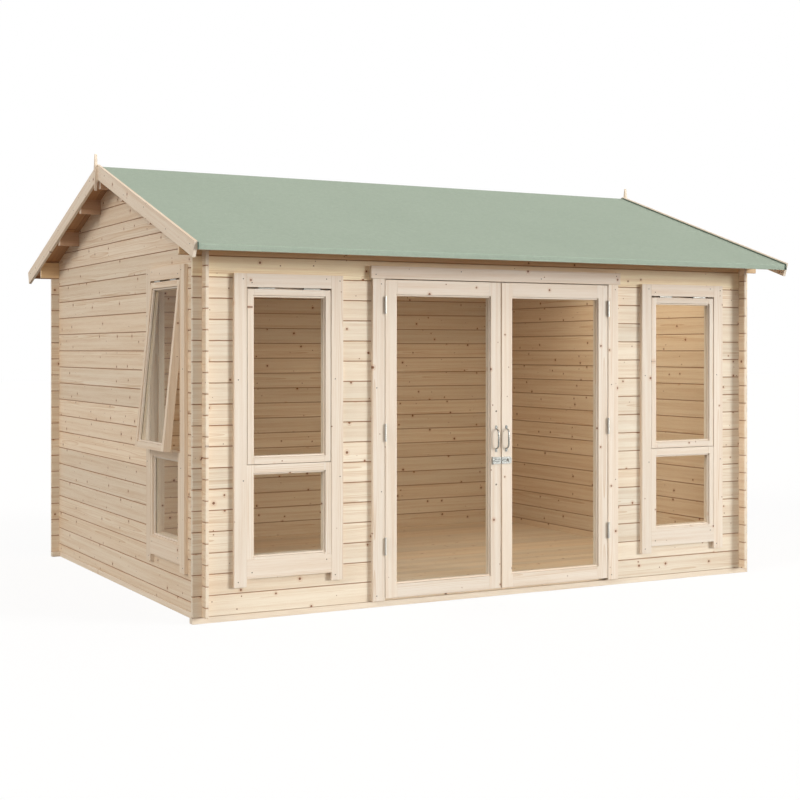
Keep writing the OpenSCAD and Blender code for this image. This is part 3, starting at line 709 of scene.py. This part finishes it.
WOODEN_NODES = {
    LOGS_LONG: ["front_wall_left_logs", "front_wall_right_logs", "back_wall_logs"],
    TOP_LOG_PAINTED_LIGHT: ["front_wall_top_log"],
    EAVE_PAINTED_LIGHT: ["eave_logs"],
    LOGS_SHORT: ["left_wall_logs", "right_wall_logs"],
    GABLE: ["left_gable_logs", "right_gable_logs"],
    JOINERY: [
        "left_front_window_trim",
        "left_front_window_frame",
        "left_front_window_sashes",
        "right_front_window_trim",
        "right_front_window_frame",
        "right_front_window_sashes",
        "door_frame",
        "door_trim",
        "left_door_leaf",
        "right_door_leaf",
    ],
    SIDE_JOINERY_PAINTED_LIGHT: ["side_window_trim", "side_window_frame", "side_window_sashes"],
    BARGE: ["left_bargeboards", "right_bargeboards", "finials"],
    BEARERS: ["base_bearers"],
    TIMBER_PAINTED_SHADE: ["ridge_purlin", "purlins", "eave_battens"],
}
OTHER_NODES = {
    GLASS: ["window_glass", "left_door_glass", "right_door_glass"],
    ZINC: ["door_hinge_pins", "window_hinges", "left_door_hinges", "right_door_hinges"],
}


def finish_nodes():
    """Gives the CAD nodes that stay their materials, and the wooden ones grain and soft edges."""
    wooden = [(name, material) for material, names in WOODEN_NODES.items() for name in names]
    for seed, (name, material) in enumerate(wooden, NODE_SEED):
        node = NODES[name]
        mesh = node.data
        give_grain(node, seed, down_the_slope if "bargeboards" in name else None)
        mesh.attributes.remove(mesh.attributes["custom_normal"])
        mesh.polygons.foreach_set("use_smooth", [False] * len(mesh.polygons))
        paint(node, material)
        round_edges(node)
    for material, names in OTHER_NODES.items():
        for name in names:
            paint(NODES[name], material)


# ---- Boards -----------------------------------------------------------------------------------------


def roof_boarding(name, node, side):
    """Tongued boards down the slope, whose bevelled edges show from below as fine V-grooves."""
    low, high = box_of(node)
    rise = high.z - RIDGE_UNDER
    count = round((high.x - low.x) / ROOF_BOARD)
    pitch = (high.x - low.x) / count
    eave = max(abs(low.y), abs(high.y))
    parts = Parts()
    for i in range(count):
        x0 = low.x + i * pitch + BOARD_GAP / 2
        x1 = x0 + pitch - BOARD_GAP
        section = [
            (x0 + BOARD_BEVEL, 0),
            (x1 - BOARD_BEVEL, 0),
            (x1, BOARD_BEVEL),
            (x1, rise),
            (x0, rise),
            (x0, BOARD_BEVEL),
        ]
        rings = []
        for y in (FIT, eave):
            rings.append([(x, side * y, RIDGE_UNDER - y * SLOPE + up) for x, up in section])
        parts.rings(rings)
    piece = new_piece(name, parts, CABIN, ROOFING_PAINTED_SHADE)
    give_grain(piece, ROOF_SEED + side, down_the_slope)
    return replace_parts(piece, node)


def floor_boarding():
    """Tongued boards along the front, the first ones ripped to fit round the door jambs."""
    low, high = box_of("floor_boards")
    first = -HALF_DEPTH + JAMB_BACK
    count = round((high.y - first) / FLOOR_BOARD)
    pitch = (high.y - first) / count
    rows = [(first + i * pitch, first + (i + 1) * pitch, [(low.x, high.x)]) for i in range(count)]
    out, inside = HALF_DOORWAY + JAMB_OUT, HALF_DOORWAY - JAMB_IN
    rows.append((low.y, first, [(low.x, -out), (-inside, inside), (out, high.x)]))
    parts = Parts()
    bevel = BOARD_BEVEL / 2
    for y0, y1, stretches in rows:
        y0, y1 = y0 + BOARD_GAP / 2, y1 - BOARD_GAP / 2
        section = [
            (y0, low.z),
            (y1, low.z),
            (y1, high.z - bevel),
            (y1 - bevel, high.z),
            (y0 + bevel, high.z),
            (y0, high.z - bevel),
        ]
        for x0, x1 in stretches:
            parts.rings([[(x, y, z) for y, z in section] for x in (x0, x1)])
    piece = new_piece("floor_boarding", parts, CABIN, FLOORING)
    give_grain(piece, FLOOR_SEED)
    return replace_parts(piece, "floor_boards")


# ---- Felt -------------------------------------------------------------------------------------------


def felt_outline(node, thick, lift=0.0, wave=0.0):
    """Points round a sheet on one slope, bent down over the eave in a round fold: (out, up) pairs."""
    low, high = box_of(node)
    inner = max(abs(low.y), abs(high.y)) - FELT_THICK
    top = boards_high.z + lift / math.cos(ROOF_ANGLE)
    skin, under = [], []
    for radius, line, gap in ((FOLD_RADIUS, skin, thick), (FOLD_RADIUS - FELT_THICK, under, 0)):
        rise = top + gap / math.cos(ROOF_ANGLE)
        face = inner + lift + gap
        centre_y = face - radius
        centre_z = rise - centre_y * SLOPE - radius / math.cos(ROOF_ANGLE)
        for k in range(SLOPE_STEPS + 1):
            y = FIT + (centre_y - FIT) * k / SLOPE_STEPS
            line.append((y, rise - y * SLOPE))
        for k in range(1, FOLD_STEPS + 1):
            turn = ROOF_ANGLE + (math.pi / 2 - ROOF_ANGLE) * k / FOLD_STEPS
            line.append((centre_y + radius * math.sin(turn), centre_z + radius * math.cos(turn)))
        line.append((face + wave, (centre_z + low.z) / 2))
        line.append((face + wave * HEM_WAVE, low.z))
    return skin + under[::-1]


def felt_sheet(name, node, side):
    """Felt over one slope, whose fold is not quite straight."""
    low, high = box_of(node)
    rings = []
    for c in range(FELT_COLUMNS + 1):
        x = low.x + (high.x - low.x) * c / FELT_COLUMNS
        wave = sum(depth * math.sin(x * rate + start) for depth, rate, start in FOLD_WAVES)
        rings.append([(x, side * y, z) for y, z in felt_outline(node, FELT_THICK, 0.0, wave)])
    parts = Parts()
    parts.rings(rings)
    piece = new_piece(name, parts, CABIN, FELT, smooth=40)
    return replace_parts(piece, node)


def felt_upturns():
    """Sides of the felt, turned up against the bargeboards and dark with painted shade, for the shade in the
    corner there.
    """
    parts = Parts()
    for node, side in (("front_roof_felt", -1), ("back_roof_felt", 1)):
        low, high = box_of(node)
        outline = felt_outline(node, UPTURN_RISE, FELT_THICK + FIT)
        for x0, x1 in ((low.x + FIT, low.x + UPTURN_THICK), (high.x - UPTURN_THICK, high.x - FIT)):
            parts.rings([[(x, side * y, z) for y, z in outline] for x in (x0, x1)])
    return new_piece("felt_upturns", parts, CABIN, BITUMEN_AND_PAINTED_SHADE)


# ---- Glazing ----------------------------------------------------------------------------------------


def panes_of(node):
    """Centre, directions (to the right, up, outwards) and half sizes of each pane of a node."""
    places, solid = solids_of(NODES[node].data)
    found = []
    for number in range(solid.max() + 1):
        corners = np.unique(np.round(places[solid == number], 5), axis=0)
        centre = corners.mean(0)
        chosen = []
        for edge in sorted(corners[1:] - corners[0], key=np.linalg.norm):
            unit = edge / np.linalg.norm(edge)
            if all(abs(unit @ c) < SQUARE for c in chosen):
                chosen.append(unit)
        out = chosen[0] if chosen[0] @ (centre * (1, 1, 0)) > 0 else -chosen[0]
        up = max(chosen[1:], key=lambda c: abs(c[2]))
        up = up if up[2] > 0 else -up
        right = np.cross(up, out)
        half = [np.ptp(corners @ d) / 2 for d in (right, up)]
        found.append((Vector(centre), Vector(right), Vector(up), Vector(out), half))
    return found


def bead_section():
    """Section of a bead with a rounded inner edge: (away from the pane's edge, depth) pairs."""
    back = GLASS_HALF + FIT
    front = GLASS_DEPTH - BEAD_BACK
    edge = BEAD_WIDTH - GROOVE - BEAD_GAP
    section = [(edge, back), (edge, front)]
    for k in range(BEAD_STEPS + 1):
        turn = math.pi / 2 * k / BEAD_STEPS
        across = BEAD_ROUND * (1 - math.sin(turn)) - GROOVE
        section.append((across, front - BEAD_ROUND * (1 - math.cos(turn))))
    return [*section, (-GROOVE, back)]


def bead_frame(parts, pane):
    """Four mitred beads in the rebate in front of a pane."""
    centre, right, up, out, half = pane
    ways = ((up, right, half[1], half[0]), (right, up, half[0], half[1]))
    for sign in (1, -1):
        for across, along, reach, length in ways:
            rings = []
            for end in (-1, 1):
                ring = []
                for grow, depth in bead_section():
                    mitre = length + grow - FIT / 2
                    ring.append(centre + across * sign * (reach + grow) + along * end * mitre + out * depth)
                rings.append(ring)
            parts.rings(rings)


def glazing_beads(name, node, body, seed, chosen=lambda centre: True):
    """Beads of the node's panes, or of those whose centre is chosen."""
    parts = Parts()
    for pane in panes_of(node):
        if chosen(pane[0]):
            bead_frame(parts, pane)
    piece = new_piece(name, parts, body, JOINERY)
    give_grain(piece, seed)
    return piece


# ---- Fittings ---------------------------------------------------------------------------------------

HANDLE_BOW = 0.058  # from the middle of a handle to the ends of its bow
HANDLE_REACH = 0.034  # of the bow, out of the leaf's face
HANDLE_ROD = 0.0055  # radius at the middle of the bow
HANDLE_END = 0.0031  # and at its ends
HANDLE_ROOT = 0.002  # from the leaf's face to the ends of the bow
HANDLE_EDGE = 0.0004  # radius of its soft edges
BOW_POWER = 4.5  # the higher, the squarer the bow
BOW_STEPS = 36
FOOT = (0.0075, 0.011)  # half width and half height of a handle's foot
FOOT_THICK = 0.003
FOOT_SCREW = 0.002  # from the middle of the foot to its screw

HASP_PARTING = 0.0026  # from the meeting line to either half of the hasp
HASP_THICK = 0.004
HASP_EDGE = 0.0005
HASP_SCREWS = (0.016, 0.014)  # from the knuckle, and up or down from the middle
KNUCKLE = 0.0045  # radius of the hasp's knuckle
KNUCKLE_OUT = 0.002  # its length past the strap, each way
KNUCKLE_COUNT = 5
KNUCKLE_RIM = ((0.0002, 0.0007), (0.0009, 0.0))  # from each end: how far in, and how much thinner
STRAP_END = (0.014, 0.012)  # half height of the tip, and length of the taper to it
SLOT_IN = 0.026  # from the tip to the slot
SLOT = (0.0032, 0.0102, 20, 6.0)  # half width, half height, points and power, as oval() takes them
STAPLE = 0.006  # radius of the arch, and height of its legs
STAPLE_ROD = 0.002
STAPLE_STEPS = 16
RIB_HALF = 0.0075
RIB_RISE = 0.0018
RIB_POWER = 4.0  # of its outline, as oval() takes it
RIB_SHRINK = 0.0016  # of the rib's top on each side
RIB_PARTING = 0.004  # from the rib to the end of its half at the meeting line
RIB_KNUCKLE = 0.009  # and to the middle of the knuckle
RIB_SLOT = 0.011  # and to the middle of the slot


def on_leaf(x, z):
    """Gives places on the face of the door leaves, counted from x and z."""
    face = box_of("left_door_leaf")[0].y
    return lambda a, b, out=0.0: Vector((x + a, face - out, z + b))


def oval(half_wide, half_high, count=24, power=3.0):
    """Ellipse for power 2, and closer to a rectangle the higher power is."""
    bend = 2 / power
    return [
        (
            half_wide * math.copysign(abs(math.cos(t)) ** bend, math.cos(t)),
            half_high * math.copysign(abs(math.sin(t)) ** bend, math.sin(t)),
        )
        for t in angles(count)
    ]


def pull_handle(name, node, body):
    """Bow handle: a bar that swells towards the middle of its bow, between two screwed feet."""
    low, high = box_of(node)
    middle = (low + high) / 2
    face = on_leaf(middle.x, middle.z)
    parts = Parts()
    foot_line = (high.z - low.z) / 2 - FOOT[1]
    path, radii = [], []
    for i in range(BOW_STEPS + 1):
        t = -1 + 2 * i / BOW_STEPS
        share = (1 - abs(t) ** BOW_POWER) ** 0.5
        path.append(face(0, t * HANDLE_BOW, HANDLE_ROOT + (HANDLE_REACH - HANDLE_ROD - HANDLE_ROOT) * share))
        radii.append(HANDLE_END + (HANDLE_ROD - HANDLE_END) * share)
    parts.tube(path, radii, 14)
    for end in (-1, 1):
        foot = on_leaf(middle.x, middle.z + end * foot_line)
        parts.plate(foot, oval(*FOOT), FOOT_THICK)
        parts.screw(foot(0, end * FOOT_SCREW, FOOT_THICK), HANDLE_SCREW)
    piece = new_piece(name, parts, body, HANDLE, smooth=40)
    round_edges(piece, HANDLE_EDGE, 50)
    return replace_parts(piece, node)


def hasp_rib(parts, left, right, middle):
    """Raised rib on the strap, from left to right."""
    half = (right - left) / 2
    for rise, inset in ((HASP_THICK, 0.0), (HASP_THICK + RIB_RISE, RIB_SHRINK)):
        shape = oval(half - inset, RIB_HALF - inset, 28, RIB_POWER)
        parts.plate(on_leaf((left + right) / 2, middle), shape, rise)


def finish_hasp(name, parts, node, body):
    piece = new_piece(name, parts, body, BRIGHT, smooth=35)
    round_edges(piece, HASP_EDGE, 40)
    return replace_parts(piece, node)


def hasp_strap(name, node, body):
    """Half of the hasp on the left leaf: knuckles, strap and two screws."""
    low, high = box_of(node)
    middle = (low.z + high.z) / 2
    face = on_leaf(0, middle)
    length = high.z - low.z
    strap = length / 2 - KNUCKLE_OUT
    knuckle = low.x + KNUCKLE
    outline = [(knuckle, -strap), (-HASP_PARTING, -strap), (-HASP_PARTING, strap), (knuckle, strap)]
    parts = Parts()
    parts.plate(face, outline, HASP_THICK)
    profile = []
    for i in range(KNUCKLE_COUNT):
        bottom = -length / 2 + i * length / KNUCKLE_COUNT
        for inset, thinner in KNUCKLE_RIM:
            profile.append((bottom + inset, KNUCKLE - thinner))
        for inset, thinner in KNUCKLE_RIM[::-1]:
            profile.append((bottom + (length / KNUCKLE_COUNT - inset), KNUCKLE - thinner))
    parts.lathe(face(knuckle, 0, KNUCKLE), (0, 0, 1), profile)
    hasp_rib(parts, knuckle + RIB_KNUCKLE, -HASP_PARTING - RIB_PARTING, middle)
    for up in (-1, 1):
        parts.screw(face(knuckle + HASP_SCREWS[0], up * HASP_SCREWS[1], HASP_THICK), HASP_SCREW)
    return finish_hasp(name, parts, node, body)


def hasp_staple(name, node, body):
    """Half of the hasp on the right leaf: the strap's slotted end, and the staple through it."""
    low, high = box_of(node)
    middle = (low.z + high.z) / 2
    face = on_leaf(0, middle)
    strap = (high.z - low.z) / 2
    start, end = HASP_PARTING, high.x
    tip, taper = STRAP_END
    slot = end - SLOT_IN
    outline = [(start, -strap), (end - taper, -strap), (end, -tip)]
    outline += [(x, -z) for x, z in outline[::-1]]
    parts = Parts()
    parts.plate(face, outline, HASP_THICK, [[(slot + a, b) for a, b in oval(*SLOT)]])
    arch = [face(slot, -STAPLE)]
    for i in range(STAPLE_STEPS + 1):
        turn = math.pi * i / STAPLE_STEPS
        arch.append(face(slot, -STAPLE * math.cos(turn), STAPLE + STAPLE * math.sin(turn)))
    arch.append(face(slot, STAPLE))
    parts.tube(arch, [STAPLE_ROD] * len(arch))
    hasp_rib(parts, start + RIB_PARTING, slot - RIB_SLOT, middle)
    return finish_hasp(name, parts, node, body)


# ---- Nails ------------------------------------------------------------------------------------------


def nail_heads(name, places, body, radius=NAIL_HEAD):
    """Flat heads, each given as a place on the wood and the way out of it."""
    parts = Parts()
    for place, out in places:
        parts.head(place, out, NAIL_SHAPE, radius)
    return new_piece(name, parts, body, NAIL)


def board_nails(low, high, out):
    """Places on the outer face of one board, near its ends and along it."""
    size = high - low
    across = 0 if out.y else 1
    upright = size.z > size[across]
    length, wide = (size.z, size[across]) if upright else (size[across], size.z)
    rows = max(2, round(length / NAIL_SPACING) + 1)
    for i in range(rows):
        along = NAIL_END + (length - 2 * NAIL_END) * i / (rows - 1)
        shift = NAIL_STAGGER[i % 2] * wide
        place = (low + high) / 2
        place[1 - across] = low.y if out.y else low.x
        if upright:
            place.z = low.z + along
            place[across] += shift
        else:
            place[across] = low[across] + along
            place.z += shift
        yield place


def trim_nails():
    """Nails in the boards round the windows and the doors."""
    found = []
    for node, out in (
        ("left_front_window_trim", OUT),
        ("right_front_window_trim", OUT),
        ("side_window_trim", Vector((-1, 0, 0))),
        ("door_trim", OUT),
    ):
        places, solid = solids_of(NODES[node].data)
        for number in range(solid.max() + 1):
            points = places[solid == number]
            for place in board_nails(Vector(points.min(0)), Vector(points.max(0)), out):
                found.append((place, out))
    return nail_heads("trim_nails", found, CABIN)


def bargeboard_nails():
    """Nails down the middle of each bargeboard, by turns a little above and below it."""
    found = []
    for node, way in (("left_bargeboards", -1), ("right_bargeboards", 1)):
        places = solids_of(NODES[node].data)[0]
        level = places[:, 2] + np.abs(places[:, 1]) * SLOPE
        middle = (level.min() + level.max()) / 2
        face = places[:, 0].min() if way < 0 else places[:, 0].max()
        end = np.abs(places[:, 1]).max() - BARGE_LAST
        for side in (-1, 1):
            for i in range(BARGE_NAILS):
                y = BARGE_FIRST + (end - BARGE_FIRST) * i / (BARGE_NAILS - 1)
                shift = BARGE_STAGGER * (-1) ** i
                place = Vector((face, side * y, middle - y * SLOPE + shift))
                found.append((place, Vector((way, 0, 0))))
    return nail_heads("bargeboard_nails", found, CABIN)


def leaf_screws(name, node, body):
    """Plugs over the screws of the lock side stile, above and below the handle."""
    low, high = box_of(node)
    middle = (low.x + high.x) / 2
    places = [(on_leaf(middle, z)(0, 0), OUT) for z in PLUG_HEIGHTS]
    return nail_heads(name, places, body, PLUG_HEAD)


# ---- Light, floor and camera ------------------------------------------------------------------------


def ground():
    mesh = bpy.data.meshes.new("studio_floor")
    corners = [(-FLOOR_HALF, -FLOOR_HALF), (FLOOR_HALF, -FLOOR_HALF)]
    corners += [(-x, -y) for x, y in corners]
    mesh.from_pydata([(x, y, 0) for x, y in corners], [], [(0, 1, 2, 3)])
    mesh.materials.append(studio_floor())
    floor = link("studio_floor", mesh)
    floor.location.z = -FLOOR_DROP


def sky():
    """Even light all round, seen as white."""
    world = bpy.data.worlds.new("studio")
    bpy.context.scene.world = world
    g = Graph(world)
    height = g.split(g.add("TexCoord").outputs["Generated"])[2]
    strength = g.math("MULTIPLY_ADD", g.math("MAXIMUM", height, 0.0), SKY_RISE, SKY_LEVEL)
    light = g.add("Background", {"Color": SKY_COLOUR, "Strength": strength})
    white = g.add("Background", {"Color": WHITE, "Strength": 1.0})
    g.finish(g.mix_shader(seen(g), light, white), "OutputWorld")


def sun(name, turn, rise, strength, spread, colour):
    """Sun that stands turn degrees from straight in front, towards +X, and rise degrees up."""
    data = bpy.data.lights.new(name, "SUN")
    data.energy = strength
    data.color = colour
    data.angle = math.radians(spread)
    turn, rise = math.radians(turn), math.radians(rise)
    across = math.cos(rise)
    towards = Vector((math.sin(turn) * across, -math.cos(turn) * across, math.sin(rise)))
    link(name, data).rotation_euler = towards.to_track_quat("Z", "Y").to_euler()


def room_light():
    """Lamp under the roof, which stands for light that the inside gets from its windows."""
    data = bpy.data.lights.new("room_light", "AREA")
    data.shape = "RECTANGLE"
    data.size, data.size_y = ROOM_SIZE, ROOM_SIZE
    data.energy = ROOM_LIGHT
    data.color = ROOM_COLOUR
    room = link("room_light", data)
    room.location = ROOM_PLACE
    room.visible_camera = False
    room.visible_glossy = False


def camera():
    data = bpy.data.cameras.new("camera")
    data.lens = LENS
    data.sensor_width = SENSOR
    data.shift_x, data.shift_y = CAMERA_SHIFT
    eye = link("camera", data)
    eye.location = EYE
    eye.rotation_euler = (math.radians(90), 0, math.radians(-EYE_TURN))
    bpy.context.scene.camera = eye


finish_nodes()
roof_boarding("front_roof_boarding", "front_roof_boards", -1)
roof_boarding("back_roof_boarding", "back_roof_boards", 1)
floor_boarding()
felt_sheet("front_felt", "front_roof_felt", -1)
felt_sheet("back_felt", "back_roof_felt", 1)
felt_upturns()
glazing_beads("left_door_beads", "left_door_glass", LEFT, 400)
glazing_beads("right_door_beads", "right_door_glass", RIGHT, 401)
for bead_name, bead_seed, window in (
    ("left_front_window_beads", 402, lambda c: c.y < FRONT_PANES and c.x < 0),
    ("right_front_window_beads", 403, lambda c: c.y < FRONT_PANES and c.x > 0),
    ("side_window_beads", 404, lambda c: c.y > FRONT_PANES),
):
    glazing_beads(bead_name, "window_glass", CABIN, bead_seed, window)
pull_handle("left_pull_handle", "left_door_handle", LEFT)
pull_handle("right_pull_handle", "right_door_handle", RIGHT)
hasp_strap("hasp_strap", "left_door_hasp", LEFT)
hasp_staple("hasp_staple", "right_door_hasp", RIGHT)
trim_nails()
bargeboard_nails()
leaf_screws("left_leaf_screws", "left_door_handle", LEFT)

bpy.context.scene.view_settings.view_transform = "Standard"
ground()
sky()
sun("key", turn=51, rise=8, strength=2.83, spread=20, colour=(0.97, 0.99, 0.985))
sun("fill", turn=-72, rise=27, strength=1.06, spread=24, colour=(1.0, 0.955, 0.895))
room_light()
camera()
